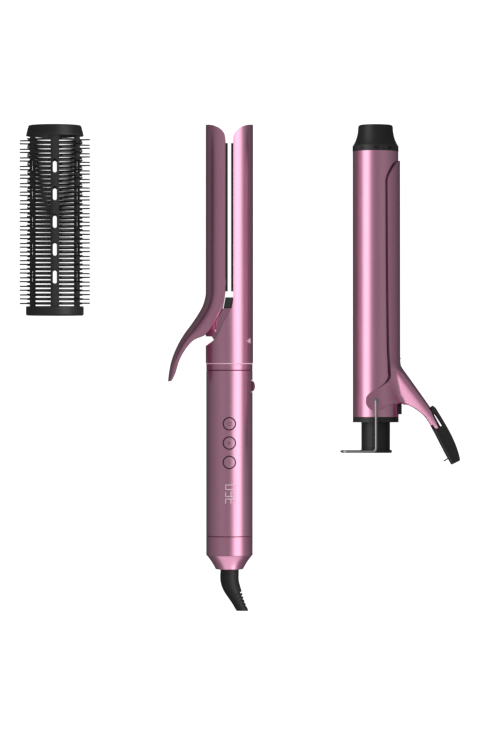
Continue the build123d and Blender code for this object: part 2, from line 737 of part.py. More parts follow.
# ---------------------------------------------------------------- curling barrel
with BuildPart() as barrel_tube:
    tube(curler, BARREL_R, BARREL_R - BARREL_WALL, BARREL_TOP, BARREL_BOTTOM)
    rod(raised(curler, -20), 1.95, 40, (CLIP_PIVOT,), Mode.SUBTRACT)
keep(barrel_tube, "barrel_tube")

with BuildPart() as tip_band:
    tube(curler, TIP_BAND_R, 12.0, TIP_BAND_TOP, BARREL_TOP)
    for i in range(10):
        with BuildSketch(facing(curler, 18 + 36 * i, TIP_BAND_R - 0.6, (TIP_BAND_TOP + BARREL_TOP) / 2)):
            Rectangle(1.6, 2.6)
        extrude(amount=2, mode=Mode.SUBTRACT)
keep(tip_band, "tip_band")

with BuildPart() as cool_tip:
    with BuildSketch(curler):
        with BuildLine():
            Spline((15.9, TIP_BAND_TOP), (14.5, 157.9), (13.0, 162.0), (12.2, 168.4))
            Polyline(
                (12.2, 168.4),
                (11.9, 169.5),
                (11.2, 170.0),
                (0, 170.0),
                (0, BARREL_TOP - 5),
                (11.9, BARREL_TOP - 5),
                (11.9, TIP_BAND_TOP),
                (15.9, TIP_BAND_TOP),
            )
        make_face()
    revolve(axis=Axis(curler.origin, curler.y_dir))
keep(cool_tip, "cool_tip")

with BuildPart() as barrel_heater:
    block(across(curler, 140), (-13.0, -3.0), (13.0, 3.0), 120)
    fillet(barrel_heater.edges().filter_by(Plane(origin=(0, 0, 0), z_dir=curler.y_dir), reverse=True), 1.0)
keep(barrel_heater, "barrel_heater")

with BuildPart() as barrel_plug:
    stub(
        curler,
        -38.0,
        [(0, -28.0), (14.5, -28.0), (14.5, BARREL_BOTTOM), (BARREL_R, BARREL_BOTTOM), (BARREL_R, -38.0)],
    )
keep(barrel_plug, "barrel_plug")

with BuildPart() as barrel_contacts:
    rod(across(curler, -44.0), 0.9, 8.5, contact_places())
keep(barrel_contacts, "barrel_contacts")

with BuildPart() as pivot_bushes:
    for side in (1, -1):
        with BuildSketch(raised(curler, side * 14.7)):
            with Locations(CLIP_PIVOT):
                Circle(1.93)
                Circle(WIRE_R + 0.08, mode=Mode.SUBTRACT)
        extrude(amount=side * 2.55)
keep(pivot_bushes, "pivot_bushes")

with BuildPart() as spring_block:
    block(raised(curler, -3.5), (15.5, -32.4), (18.1, -24.9), 7)
    rod(across(curler, 0), BARREL_R, 60, mode=Mode.SUBTRACT)
keep(spring_block, "spring_block")

with BuildPart() as clip_spring:
    leaf_outside = [(17.0, -24.9), (18.9, -14.0), (21.9, -6.5)]
    slab(curler, [(16.3, -24.9), *leaf_outside, (21.4, -6.2), (18.3, -13.8)], 2.6)
keep(clip_spring, "clip_spring")

# Clip: a curved sheet along the barrel, ears round the pivot, and a channel-shaped lever
LEVER_WALL = 1.3
lever_back = [(9.8, 9.0), (17.3, 9.0), (17.8, 4.6), (18.6, 1.1), (38.2, -26.9)]
lever_tip = [(38.6, -31.3), (39.9, -34.2), (42.1, -39.1), (43.1, -41.6), (42.0, -43.0), (40.6, -42.8)]
lever_belly = [(37.3, -37.9), (34.7, -33.9), (30.4, -30.2), (25.0, -26.8), (20.7, -24.9), (17.8, -24.6)]
lever_outline = [*lever_back, *lever_tip, *lever_belly, (13.5, -22.3), (9.8, -20.3)]
hollow_back = [(5, 12), (15.8, 12), (16.5, 4.0), (17.3, 0.6), (36.7, -27.3), (37.2, -31.7)]
hollow_outline = [*hollow_back, (38.5, -34.8), (40.8, -40.0), (40.8, -46), (5, -46)]


def lever_taper(inset):
    """The lever's width, seen along the barrel: full at the barrel, narrow at the thumb tip."""
    half = [(4, 14.6 - inset), (19, 13.9 - inset), (44, 8.4 - inset)]
    return [*half, *((x, -y) for x, y in reversed(half))]


def on_lever_back(edge):
    """Whether an edge is one of the side edges of the lever's outer web."""
    middle = curler.to_local_coords(edge.center())
    return abs(middle.Z) > 5 and 17.2 < middle.X < 38 and middle.X + 0.7 * middle.Y > 14


with BuildPart() as channel_hollow:
    slab(curler, hollow_outline, 18)
    slab(across(curler, 20), lever_taper(LEVER_WALL), 80, False, Mode.INTERSECT)

with BuildPart() as lever_channel:
    slab(curler, lever_outline, 18)
    slab(across(curler, 20), lever_taper(0), 80, False, Mode.INTERSECT)
    fillet(lever_channel.edges().filter_by(on_lever_back), 3.0)
    add(channel_hollow.part, mode=Mode.SUBTRACT)
    rod(across(curler, 20), CLIP_INNER_R, 80, mode=Mode.SUBTRACT)
clip_top = [(7.9, 129.6), (8.6, 133.2), (11.6, 139.5), (13.9, 143.0), (18.5, 145.2)]
clip_low = [(8.4, 9.1), (9.6, -0.6), (9.6, -6.2), (6.2, -10.7), (0.3, -14.6)]
with BuildPart() as clip_lever:
    with BuildSketch(curler):
        with BuildLine():
            Spline(*clip_top)
            Polyline(clip_top[-1], (18.5, -20.5), (7.5, -20.5), (6.2, -22.0), (-7.0, -22.0))
            Spline((-7.0, -22.0), (-5.8, -18.8), (-2.9, -16.6), *reversed(clip_low))
            Line(clip_low[0], clip_top[0])
        make_face()
    extrude(amount=18, both=True)
    tube(curler, CLIP_INNER_R + CLIP_WALL, CLIP_INNER_R, 160, -30, Mode.INTERSECT)
    block(raised(curler, -12.5), (-9.0, -30.0), (20.0, 0.5), 25, mode=Mode.SUBTRACT)
    block(raised(curler, -CLIP_INNER_R), (-9.0, -30.0), (0, -13.0), 2 * CLIP_INNER_R, mode=Mode.SUBTRACT)
    for side in (1, -1):
        rod(raised(curler, side * (CLIP_INNER_R + 0.05)), EAR_R, side * 0.8, (CLIP_PIVOT,))
    add(lever_channel.part)
    rod(raised(curler, -20), 2.05, 40, (CLIP_PIVOT,), Mode.SUBTRACT)
keep(clip_lever, "clip_lever")

tip_socket = [(40.4, -43.0), (42.1, -43.3), (43.35, -41.6), (42.3, -39.0), (40.1, -34.1), (38.8, -31.2)]
thumb_slit = [(40.4, -32.6), (41.6, -32.4), (46.5, -40.2), (45.9, -41.0), (44.7, -40.6)]
with BuildPart() as thumb_tip:
    with BuildSketch(curler):
        with BuildLine():
            Polyline((38.5, -27.3), (39.7, -26.3), (41.6, -27.9))
            Spline((41.6, -27.9), (49.6, -41.2), (56.6, -56.2), (58.7, -63.8))
            Polyline((58.7, -63.8), (58.4, -64.8), (53.0, -67.5))
            Spline((53.0, -67.5), (48.7, -60.0), (43.8, -50.4), (40.6, -44.2), (38.45, -40.3))
            Polyline((38.45, -40.3), (38.8, -40.3), *tip_socket, (38.5, -27.3))
        make_face()
    extrude(amount=8.6, both=True)
    with BuildSketch(across(curler, -20)):
        with BuildLine():
            Polyline((36, -8.6), (59, -6.2), (59, 6.2), (36, 8.6), close=True)
        make_face()
    extrude(amount=60, mode=Mode.INTERSECT)
    slab(curler, thumb_slit, 10, mode=Mode.SUBTRACT)
    back_edges = thumb_tip.edges().filter_by(lambda e: e.length > 30).group_by(Axis.Z)
    fillet([*back_edges[0], *back_edges[-1]], 1.5)
    pin_start = curler.from_local_coords((50.9, -63.1, 0))
    pin_way = curler.from_local_coords((47.5, -65.1, 0)) - pin_start
    with BuildSketch(Plane(origin=pin_start, z_dir=pin_way)):
        Circle(0.45)
    extrude(amount=pin_way.length)
keep(thumb_tip, "thumb_tip")

# Stand: one bent wire, its ends turned into the pivot bushes
with BuildPart() as stand_wire:
    corners = [
        (CLIP_PIVOT[0], CLIP_PIVOT[1], 15.0),
        (CLIP_PIVOT[0], CLIP_PIVOT[1], LEG_Z),
        (CLIP_PIVOT[0], STAND_END, LEG_Z),
        (STAND_FOOT_X, STAND_END, LEG_Z),
    ]
    route = [curler.from_local_coords(c) for c in corners]
    route += [curler.from_local_coords((c[0], c[1], -c[2])) for c in reversed(corners)]
    with BuildLine() as wire_line:
        FilletPolyline(*route, radius=(1.2, 2.4, 2.4, 2.4, 2.4, 1.2))
    with BuildSketch(Plane(origin=wire_line.line @ 0, z_dir=wire_line.line % 0)):
        Circle(WIRE_R)
    sweep()
keep(stand_wire, "stand_wire")

for name, part in nodes.items():
    print(name, round(part.volume, 1), len(part.solids()), part.is_valid)
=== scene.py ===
import json
from math import cos, pi, radians, sin, tan

import bmesh
import bpy
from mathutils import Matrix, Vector

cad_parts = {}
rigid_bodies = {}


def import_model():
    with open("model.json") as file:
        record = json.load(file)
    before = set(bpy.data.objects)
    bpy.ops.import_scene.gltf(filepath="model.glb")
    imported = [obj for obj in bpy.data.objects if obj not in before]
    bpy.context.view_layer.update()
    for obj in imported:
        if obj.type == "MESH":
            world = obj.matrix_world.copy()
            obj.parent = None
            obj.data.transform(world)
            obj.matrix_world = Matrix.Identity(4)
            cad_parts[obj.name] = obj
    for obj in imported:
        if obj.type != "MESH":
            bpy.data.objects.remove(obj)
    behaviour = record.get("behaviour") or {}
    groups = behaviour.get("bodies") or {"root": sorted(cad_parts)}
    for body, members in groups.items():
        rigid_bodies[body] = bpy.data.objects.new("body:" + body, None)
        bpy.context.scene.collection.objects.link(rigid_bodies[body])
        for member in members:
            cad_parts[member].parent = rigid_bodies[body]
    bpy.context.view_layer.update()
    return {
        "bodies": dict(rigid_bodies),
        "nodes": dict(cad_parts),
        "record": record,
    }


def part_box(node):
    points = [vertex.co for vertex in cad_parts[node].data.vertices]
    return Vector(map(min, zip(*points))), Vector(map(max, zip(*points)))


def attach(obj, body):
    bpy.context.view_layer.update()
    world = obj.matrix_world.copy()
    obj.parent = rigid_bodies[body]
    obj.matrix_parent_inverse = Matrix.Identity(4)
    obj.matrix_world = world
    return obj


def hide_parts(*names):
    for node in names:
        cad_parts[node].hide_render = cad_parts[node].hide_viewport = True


# A three-piece hair styling set on a white table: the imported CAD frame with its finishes,
# the small surface details, the studio light and the camera.

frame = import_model()
record = frame["record"]
nodes = frame["nodes"]
scene = bpy.context.scene

MM = 0.001
handle_low, handle_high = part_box("handle_front_shell")


# ---------------------------------------------------------------- camera
SEEN_HEIGHT = 0.5152
LENS_DISTANCE = 2.6
SENSOR = 36.0
AXIS_HEIGHT = 0.017

camera_data = bpy.data.cameras.new("camera")
camera_data.sensor_width = SENSOR
camera_data.lens = SENSOR * LENS_DISTANCE / SEEN_HEIGHT
camera_data.clip_start = 0.05
camera_data.clip_end = 20
camera = bpy.data.objects.new("camera", camera_data)
scene.collection.objects.link(camera)
camera.location = (0, 0, LENS_DISTANCE + AXIS_HEIGHT)
scene.camera = camera
scene.view_settings.view_transform = "Standard"


# ---------------------------------------------------------------- materials
def node(tree, kind, **values):
    """A shader node with its inputs or properties set by name."""
    made = tree.nodes.new(kind)
    for key, value in values.items():
        if key in made.inputs:
            made.inputs[key].default_value = value
        else:
            setattr(made, key, value)
    return made


BROAD_SHARE = 0.55
EDGE_LIGHTENING_STARTS = 0.52
EDGE_LIGHTENING_FULL = 0.62


def grained(name, dark, light, rough, metallic=0.0, stretch=(1, 1, 1), grain=900.0, mottle=25.0,
            bump=0.05, bump_depth=0.00008, edge_lightening=0.0, edge_lightening_colour=None, **shader_values):
    """A Principled material: mottled colour, uneven roughness, a fine bump and sharp edges lightened
    by pointiness, which on the rose metals is a painted edge highlight.
    """
    made = bpy.data.materials.new(name)
    made.use_nodes = True
    tree = made.node_tree
    link = tree.links.new
    shader = tree.nodes["Principled BSDF"]
    shader.inputs["Metallic"].default_value = metallic
    for key, value in shader_values.items():
        shader.inputs[key.replace("_", " ")].default_value = value
    place = node(tree, "ShaderNodeTexCoord")
    mapping = node(tree, "ShaderNodeMapping", Scale=stretch)
    link(place.outputs["Object"], mapping.inputs["Vector"])
    broad = node(tree, "ShaderNodeTexNoise", Scale=mottle, Detail=4.0, Roughness=0.55)
    fine = node(tree, "ShaderNodeTexNoise", Scale=grain, Detail=3.0, Roughness=0.6)
    link(place.outputs["Object"], broad.inputs["Vector"])
    link(mapping.outputs["Vector"], fine.inputs["Vector"])
    blend = node(tree, "ShaderNodeMixRGB", Color1=dark, Color2=light)
    both = node(tree, "ShaderNodeMath", operation="MULTIPLY_ADD")
    both.inputs[1].default_value = 1 - BROAD_SHARE
    link(fine.outputs["Fac"], both.inputs[0])
    half = node(tree, "ShaderNodeMath", operation="MULTIPLY")
    half.inputs[1].default_value = BROAD_SHARE
    link(broad.outputs["Fac"], half.inputs[0])
    link(half.outputs["Value"], both.inputs[2])
    link(both.outputs["Value"], blend.inputs["Fac"])
    surface = blend
    # Sharp edges are lightened towards the given colour; on the rose metals this is a painted edge
    # highlight.
    if edge_lightening:
        edges = node(tree, "ShaderNodeNewGeometry")
        ramp = node(tree, "ShaderNodeMapRange")
        ramp.inputs["From Min"].default_value = EDGE_LIGHTENING_STARTS
        ramp.inputs["From Max"].default_value = EDGE_LIGHTENING_FULL
        ramp.inputs["To Max"].default_value = edge_lightening
        link(edges.outputs["Pointiness"], ramp.inputs["Value"])
        surface = node(tree, "ShaderNodeMixRGB", Color2=edge_lightening_colour or light)
        link(ramp.outputs["Result"], surface.inputs["Fac"])
        link(blend.outputs["Color"], surface.inputs["Color1"])
    link(surface.outputs["Color"], shader.inputs["Base Color"])
    spread = node(tree, "ShaderNodeMapRange")
    spread.inputs["To Min"].default_value = rough[0]
    spread.inputs["To Max"].default_value = rough[1]
    link(both.outputs["Value"], spread.inputs["Value"])
    link(spread.outputs["Result"], shader.inputs["Roughness"])
    raised = node(tree, "ShaderNodeBump", Strength=bump, Distance=bump_depth)
    link(fine.outputs["Fac"], raised.inputs["Height"])
    link(raised.outputs["Normal"], shader.inputs["Normal"])
    return made


ROSE_DARK = (0.70, 0.266, 0.440, 1.0)
ROSE_LIGHT = (0.80, 0.304, 0.503, 1.0)
# A lighter pink for the rose metals' sharp edges: a painted edge highlight.
ROSE_EDGE_HIGHLIGHT = (0.9, 0.55, 0.7, 1.0)
LACQUER = {"Coat_Weight": 1.0, "Coat_IOR": 2.0, "Coat_Roughness": 0.2}
rose = grained(
    "rose metal", ROSE_DARK, ROSE_LIGHT, (0.30, 0.37), metallic=1.0, stretch=(0.06, 1, 0.06),
    grain=2600.0, bump=0.10, bump_depth=0.00002, edge_lightening=0.15, edge_lightening_colour=ROSE_EDGE_HIGHLIGHT, **LACQUER,
)
rose_long = grained(
    "rose metal drawn", ROSE_DARK, ROSE_LIGHT, (0.30, 0.37), metallic=1.0, stretch=(1, 0.05, 1),
    grain=2200.0, bump=0.08, bump_depth=0.00002, edge_lightening=0.15, edge_lightening_colour=ROSE_EDGE_HIGHLIGHT, **LACQUER,
)
rose_key = grained(
    "rose metal keys", (0.62, 0.28, 0.42, 1.0), (0.7, 0.34, 0.49, 1.0), (0.36, 0.45),
    metallic=1.0, grain=3500.0, bump=0.12, bump_depth=0.00002, **LACQUER,
)
accent = grained(
    "deep rose", (0.07, 0.012, 0.03, 1.0), (0.1, 0.018, 0.045, 1.0), (0.35, 0.45),
    metallic=0.6, grain=2500.0, bump=0.05,
)
cheek_rose = grained(
    "rose metal cheeks", (0.5, 0.2, 0.32, 1.0), (0.6, 0.24, 0.38, 1.0), (0.33, 0.42),
    metallic=1.0, grain=2500.0, bump=0.05, **LACQUER,
)
black = grained(
    "black heat-proof plastic", (0.006, 0.006, 0.006, 1.0), (0.014, 0.014, 0.014, 1.0), (0.38, 0.5),
    grain=1800.0, bump=0.22, bump_depth=0.00006, edge_lightening=0.5, edge_lightening_colour=(0.04, 0.04, 0.04, 1.0),
)
brush_black = grained(
    "black brush plastic", (0.008, 0.008, 0.008, 1.0), (0.017, 0.017, 0.017, 1.0), (0.36, 0.48),
    grain=1500.0, bump=0.16, bump_depth=0.00005, edge_lightening=0.5, edge_lightening_colour=(0.05, 0.05, 0.05, 1.0),
)
boot_black = grained(
    "black boot rubber", (0.007, 0.007, 0.007, 1.0), (0.015, 0.015, 0.015, 1.0), (0.45, 0.58),
    grain=1400.0, bump=0.25, bump_depth=0.00006, edge_lightening=0.4, edge_lightening_colour=(0.04, 0.04, 0.04, 1.0),
)
plate_black = grained(
    "black ceramic coating", (0.008, 0.008, 0.009, 1.0), (0.016, 0.015, 0.017, 1.0), (0.12, 0.2),
    stretch=(1, 0.05, 1), grain=1500.0, bump=0.04, bump_depth=0.00002,
)
steel = grained(
    "drawn steel", (0.4, 0.38, 0.38, 1.0), (0.55, 0.53, 0.53, 1.0), (0.25, 0.38),
    metallic=1.0, stretch=(1, 0.1, 1), grain=3000.0, bump=0.1, bump_depth=0.00002,
)
brass = grained(
    "spring brass", (0.6, 0.42, 0.16, 1.0), (0.72, 0.52, 0.22, 1.0), (0.25, 0.38),
    metallic=1.0, grain=2500.0, bump=0.06,
)
ceramic = grained(
    "fired ceramic", (0.62, 0.6, 0.54, 1.0), (0.75, 0.73, 0.68, 1.0), (0.6, 0.75),
    grain=1500.0, bump=0.2,
)
board_green = grained(
    "solder mask", (0.01, 0.1, 0.04, 1.0), (0.02, 0.16, 0.06, 1.0), (0.25, 0.35),
    grain=1200.0, bump=0.1,
)
component = grained(
    "moulded components", (0.02, 0.02, 0.025, 1.0), (0.05, 0.05, 0.055, 1.0), (0.35, 0.5),
    grain=1600.0, bump=0.15,
)
key_dark = grained(
    "deep rose key", (0.10, 0.025, 0.05, 1.0), (0.15, 0.04, 0.075, 1.0), (0.3, 0.4),
    metallic=0.5, grain=2500.0, bump=0.05,
)
lit = grained(
    "lit segments", (0.55, 0.42, 0.5, 1.0), (0.64, 0.5, 0.58, 1.0), (0.35, 0.45),
    grain=2500.0, bump=0.03, Emission_Color=(1.0, 0.82, 0.93, 1.0), Emission_Strength=0.25,
)
# Dark crimson for a strip of painted shadow along the clip's free edge.
edge_shadow_strip_paint = grained(
    "painted shadow along clip edge", (0.045, 0.004, 0.018, 1.0), (0.07, 0.008, 0.028, 1.0), (0.5, 0.6),
    grain=2500.0, bump=0.05,
)
# The clip's cut edge in dark crimson: painted shade for the dark shadow line along the sheet's edge.
cut_edge_shade = grained(
    "painted shade on clip cut edge", (0.05, 0.012, 0.026, 1.0), (0.08, 0.02, 0.04, 1.0), (0.5, 0.6),
    metallic=0.7, grain=2500.0, bump=0.05,
)
seam_dark = grained(
    "seam shadow", (0.2, 0.05, 0.1, 1.0), (0.26, 0.07, 0.13, 1.0), (0.4, 0.5),
    metallic=0.5, grain=2500.0, bump=0.05,
)
# A pale, faintly glowing ring at the collar's edge: a painted highlight standing for the seam's
# chamfer catching the light.
seam_highlight_paint = grained(
    "painted seam highlight", (0.85, 0.6, 0.72, 1.0), (0.95, 0.7, 0.82, 1.0), (0.4, 0.5),
    grain=2500.0, bump=0.05, Emission_Color=(1.0, 0.72, 0.86, 1.0), Emission_Strength=0.22,
)
mark = grained(
    "pale rose mark", (0.8, 0.5, 0.62, 1.0), (0.9, 0.6, 0.72, 1.0), (0.35, 0.45),
    grain=2500.0, bump=0.03,
)

FINISHES = {
    "rose_metal": rose,
    "rose_accent": accent,
    "black_plastic": black,
    "brush_plastic": brush_black,
    "plate_coating": plate_black,
    "ceramic": ceramic,
    "steel": steel,
    "brass": brass,
    "circuit_board": board_green,
    "components": component,
    "display_white": lit,
    "boot_rubber": boot_black,
}
SPECIAL = {
    "hinge_cheeks": cheek_rose,
    "head_housing": rose_long,
    "clamp_arm": rose_long,
    "barrel_tube": rose,
    "clip_lever": rose_long,
    "power_button": rose_key,
    "plus_button": rose_key,
    "minus_button": rose_key,
    "lock_mark": mark,
    "release_button": key_dark,
}


def finish_with(piece, finish):
    """Puts one material on a whole piece."""
    piece.data.materials.clear()
    piece.data.materials.append(finish)


for part in record["subparts"]:
    name = part["node"]
    finish_with(nodes[name], SPECIAL.get(name) or FINISHES[part["material_slot"]])


# ---------------------------------------------------------------- pieces
def new_piece(name, mesh_maker, finish, body, smooth=True):
    """A piece from a bmesh, with its finish, body and material slot."""
    made = bpy.data.meshes.new(name)
    build = bmesh.new()
    mesh_maker(build)
    bmesh.ops.recalc_face_normals(build, faces=build.faces)
    build.to_mesh(made)
    build.free()
    for face in made.polygons:
        face.use_smooth = smooth
    piece = bpy.data.objects.new(name, made)
    scene.collection.objects.link(piece)
    finish_with(piece, finish)
    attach(piece, body)
    return piece


ROUND_SIDES = 8


def bridge(build, rings):
    """Joins each ring of vertices to the next with a band of faces."""
    for a, b in zip(rings, rings[1:]):
        for k in range(len(a)):
            build.faces.new((a[k], a[(k + 1) % len(a)], b[(k + 1) % len(a)], b[k]))


def tube_along(build, points, radius):
    """A thin round bar along a line of points that lies flat, with flat ends."""
    rings = []
    for i, point in enumerate(points):
        before = points[max(0, i - 1)]
        after = points[min(len(points) - 1, i + 1)]
        along = (after - before).normalized()
        side = along.cross(Vector((0, 0, 1)))
        ring = []
        for k in range(ROUND_SIDES):
            turn = 2 * pi * k / ROUND_SIDES
            out = cos(turn) * side + sin(turn) * Vector((0, 0, 1))
            ring.append(build.verts.new(point + radius * out))
        rings.append(ring)
    bridge(build, rings)
    build.faces.new(rings[0])
    build.faces.new(rings[-1])


KEY_BODIES = ("power_key", "plus_key", "minus_key")
ICON = 0.0021
ICON_LINE = 0.00016
ICON_SUNK = 0.00004
POWER_RING = 0.62 * ICON
POWER_START = 215
POWER_SWEEP = 290
POWER_STEPS = 24
STROKE = 1.2 * ICON


def key_middle(name):
    """The middle of a key's top face."""
    low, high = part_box(name)
    return Vector(((low.x + high.x) / 2, (low.y + high.y) / 2, high.z - ICON_SUNK))


def bar(build, middle, way, length):
    """A short straight line of an icon."""
    tube_along(build, [middle - way * length / 2, middle, middle + way * length / 2], ICON_LINE)


def power_icon(build):
    """An open ring with a stroke in its gap, turned to read along the handle."""
    middle = key_middle("power_button")
    ring = []
    for i in range(POWER_STEPS + 1):
        turn = radians(POWER_START + POWER_SWEEP * i / POWER_STEPS)
        ring.append(middle + POWER_RING * Vector((cos(turn), sin(turn), 0)))
    tube_along(build, ring, ICON_LINE)
    bar(build, middle + Vector((-0.5 * ICON, 0, 0)), Vector((1, 0, 0)), POWER_RING)


def plus_icon(build):
    """Two crossed strokes."""
    middle = key_middle("plus_button")
    bar(build, middle, Vector((1, 0, 0)), STROKE)
    bar(build, middle, Vector((0, 1, 0)), STROKE)


def minus_icon(build):
    """One stroke across the handle's length."""
    bar(build, key_middle("minus_button"), Vector((0, 1, 0)), STROKE)


for icon, body in zip((power_icon, plus_icon, minus_icon), KEY_BODIES):
    new_piece(icon.__name__, icon, accent, body)


# ---------------------------------------------------------------- seams: a ring of painted highlight and rings of painted shadow
HANDLE_R = 0.01625
RING_STEPS = 64


def turned_ring(station, major, minor):
    """A round ring about the handle's axis, as a mesh maker."""
    middle = Vector(((handle_low.x + handle_high.x) / 2, station, handle_high.z - HANDLE_R))

    def maker(build):
        rings = []
        for i in range(RING_STEPS):
            turn = 2 * pi * i / RING_STEPS
            out = Vector((cos(turn), 0, sin(turn)))
            ring = []
            for k in range(ROUND_SIDES):
                roll = 2 * pi * k / ROUND_SIDES
                spot = out * (major + minor * cos(roll)) + Vector((0, minor * sin(roll), 0))
                ring.append(build.verts.new(middle + spot))
            rings.append(ring)
        bridge(build, [*rings, rings[0]])

    return maker


collar_low, collar_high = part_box("handle_collar")
tail_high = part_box("tail_band")[1]
# The pale ring at the collar's top is a painted highlight; the dark rings below are painted shadow in
# the seams.
collar_highlight_ring = turned_ring(collar_high.y - 0.28 * MM, HANDLE_R - 0.13 * MM, 0.3 * MM)
dark_ring = turned_ring(collar_low.y + 0.3 * MM, HANDLE_R - 0.39 * MM, 0.26 * MM)
tail_ring = turned_ring(tail_high.y - 0.25 * MM, HANDLE_R - 0.35 * MM, 0.26 * MM)
new_piece("bright_seam", collar_highlight_ring, seam_highlight_paint, "handle")
new_piece("dark_seam", dark_ring, seam_dark, "handle")
new_piece("tail_seam", tail_ring, seam_dark, "handle")


# ---------------------------------------------------------------- the clip, pressed from one sheet
joints = {j["name"]: j for j in record["behaviour"]["joints"]}
clip_pivot = Vector(joints["clip_open"]["pos_m"])
clip_up = -Vector(joints["clip_open"]["axis"]).normalized()
clip_along = clip_up.cross(Vector((1, 0, 0)))
widest_turn = radians(joints["clip_open"]["range_deg"][1])
WIDEST = Vector((cos(widest_turn), sin(widest_turn)))

# Plan sizes in millimetres: x across from the barrel's axis, y along the barrel
PIVOT_X, PIVOT_Y = -0.4, -23.0
PIVOT_HOLE_R = 2.05
SHEET_R = 17.2
SHEET_WALL = 0.6
BACK_LINE = [(17.2, 146.0), (17.2, 4.6), (17.8, 1.4), (19.1, -0.8), (45.7, -38.0)]

# The lever's ridge: its height, how it falls towards the tip, and how far in its crest lies
CREST_HEIGHT = 14.6
CREST_FALL = 0.08
FALL_FROM = 6
FALL_ROUND = 8
CREST_PLACE = 4.6
CREST_DRIFT = 0.05
BACK_POWER = 2.3
FLANK_SLOPE = 0.5
FLANK_ROUND = 1.6
LEVER_FROM = 5.0
LEVER_FADE = 9.0
JOIN_BLEND = 4.4

# Each row crosses the sheet from its back line, over a waist, to its free edge
CLIP_ROWS = [
    ((17.2, 145.0), (17.0, 145.0), (16.8, 144.9)),
    ((17.2, 143.6), (15.4, 143.2), (13.6, 142.8)),
    ((17.2, 139.9), (14.2, 139.6), (11.2, 139.3)),
    ((17.2, 133.4), (12.7, 133.3), (8.1, 133.2)),
    ((17.2, 129.6), (12.3, 129.6), (7.4, 129.6)),
    ((17.2, 90.0), (12.5, 90.0), (7.6, 90.0)),
    ((17.2, 50.0), (12.7, 50.0), (7.9, 50.0)),
    ((17.2, 20.0), (12.9, 20.0), (8.3, 20.0)),
    ((17.2, 9.1), (13.1, 9.1), (8.6, 9.1)),
    ((17.5, 2.6), (13.6, 1.6), (9.3, 1.2)),
    ((19.4, -1.2), (13.9, -3.6), (9.75, -5.4)),
    ((21.6, -4.3), (12.9, -8.2), (8.1, -9.0)),
    ((23.5, -6.9), (12.0, -11.8), (5.2, -12.0)),
    ((25.3, -9.4), (11.2, -14.8), (1.2, -14.3)),
    ((26.7, -11.4), (10.6, -17.2), (-2.6, -16.3)),
    ((28.1, -13.4), (10.2, -19.3), (-5.6, -18.5)),
    ((29.3, -15.1), (9.9, -21.0), (-7.3, -21.2)),
    ((30.4, -16.6), (9.7, -22.3), (-7.45, -24.3)),
    ((31.4, -18.0), (9.6, -23.3), (-5.9, -27.6)),
    ((32.4, -19.4), (9.7, -24.0), (-3.0, -29.7)),
    ((33.3, -20.7), (10.0, -24.4), (0.9, -30.0)),
    ((34.1, -21.8), (10.6, -24.7), (4.2, -28.4)),
    ((34.9, -22.9), (11.8, -24.8), (6.6, -26.1)),
    ((35.7, -24.0), (14.5, -24.75), (9.4, -25.0)),
    ((36.6, -25.3), (19.5, -24.9), (14.0, -24.7)),
    ((37.5, -26.6), (24.5, -26.1), (19.0, -24.75)),
    ((38.2, -28.5), (29.4, -28.6), (25.0, -26.8)),
    ((38.7, -31.4), (33.6, -31.8), (30.4, -30.2)),
    ((39.8, -34.0), (36.5, -34.9), (34.5, -33.9)),
    ((41.0, -36.7), (38.8, -37.7), (37.2, -37.8)),
    ((42.1, -39.1), (40.9, -41.0), (39.3, -41.2)),
    ((43.2, -41.8), (42.4, -43.1), (41.0, -43.2)),
]


def from_back(x, y):
    """How far a plan point is from the back line, and how far along its slanted part."""
    best = (1e9, 0.0)
    travelled = -(BACK_LINE[0][1] - BACK_LINE[2][1])
    for (ax, ay), (bx, by) in zip(BACK_LINE, BACK_LINE[1:]):
        dx, dy = bx - ax, by - ay
        length = (dx * dx + dy * dy) ** 0.5
        share = min(1.0, max(0.0, ((x - ax) * dx + (y - ay) * dy) / length ** 2))
        away = ((x - ax - share * dx) ** 2 + (y - ay - share * dy) ** 2) ** 0.5
        if away < best[0]:
            best = (away, travelled + share * length)
        travelled += length
    return best


def clip_height(x, y):
    """Half the clip's thickness across: a rolled sheet that runs into a rounded lever."""
    swung = PIVOT_X + WIDEST.x * (x - PIVOT_X) + WIDEST.y * (y - PIVOT_Y)
    sheet = max(0.0, SHEET_R ** 2 - max(0.0, min(x, swung)) ** 2) ** 0.5
    away, along = from_back(x, y)
    past = along - FALL_FROM
    crest = CREST_HEIGHT - CREST_FALL * ((past ** 2 + FALL_ROUND ** 2) ** 0.5 + past)
    place = CREST_PLACE - CREST_DRIFT * max(0.0, along)
    if away < place:
        lever = crest * (1 - ((place - away) / place) ** BACK_POWER) ** (1 / BACK_POWER)
    else:
        lever = crest - FLANK_SLOPE * (((away - place) ** 2 + FLANK_ROUND ** 2) ** 0.5 - FLANK_ROUND)
    share = min(1.0, max(0.0, (LEVER_FROM - y) / LEVER_FADE))
    share = share * share * (3 - 2 * share)
    mix = min(1.0, max(0.0, 0.5 + 0.5 * (lever - sheet) / JOIN_BLEND))
    higher = sheet * (1 - mix) + lever * mix + JOIN_BLEND * mix * (1 - mix)
    return sheet * (1 - share) + higher * share


def clip_point(x, y, z):
    """A point of the clip in the frame, from its plan place and its height across."""
    return clip_pivot + MM * (Vector((x - PIVOT_X, 0, 0)) + (y - PIVOT_Y) * clip_along + z * clip_up)


ROW_STEPS = 6
BACK_STEPS = 24
EDGE_STEPS = 12


def between(a, b, share):
    """A plan point part of the way from one to another."""
    return (a[0] + (b[0] - a[0]) * share, a[1] + (b[1] - a[1]) * share)


def gentle_slope(before, after):
    """The slope at a row that never lets the curve swing past its neighbours."""
    if before * after <= 0:
        return 0.0
    return 2 * before * after / (before + after)


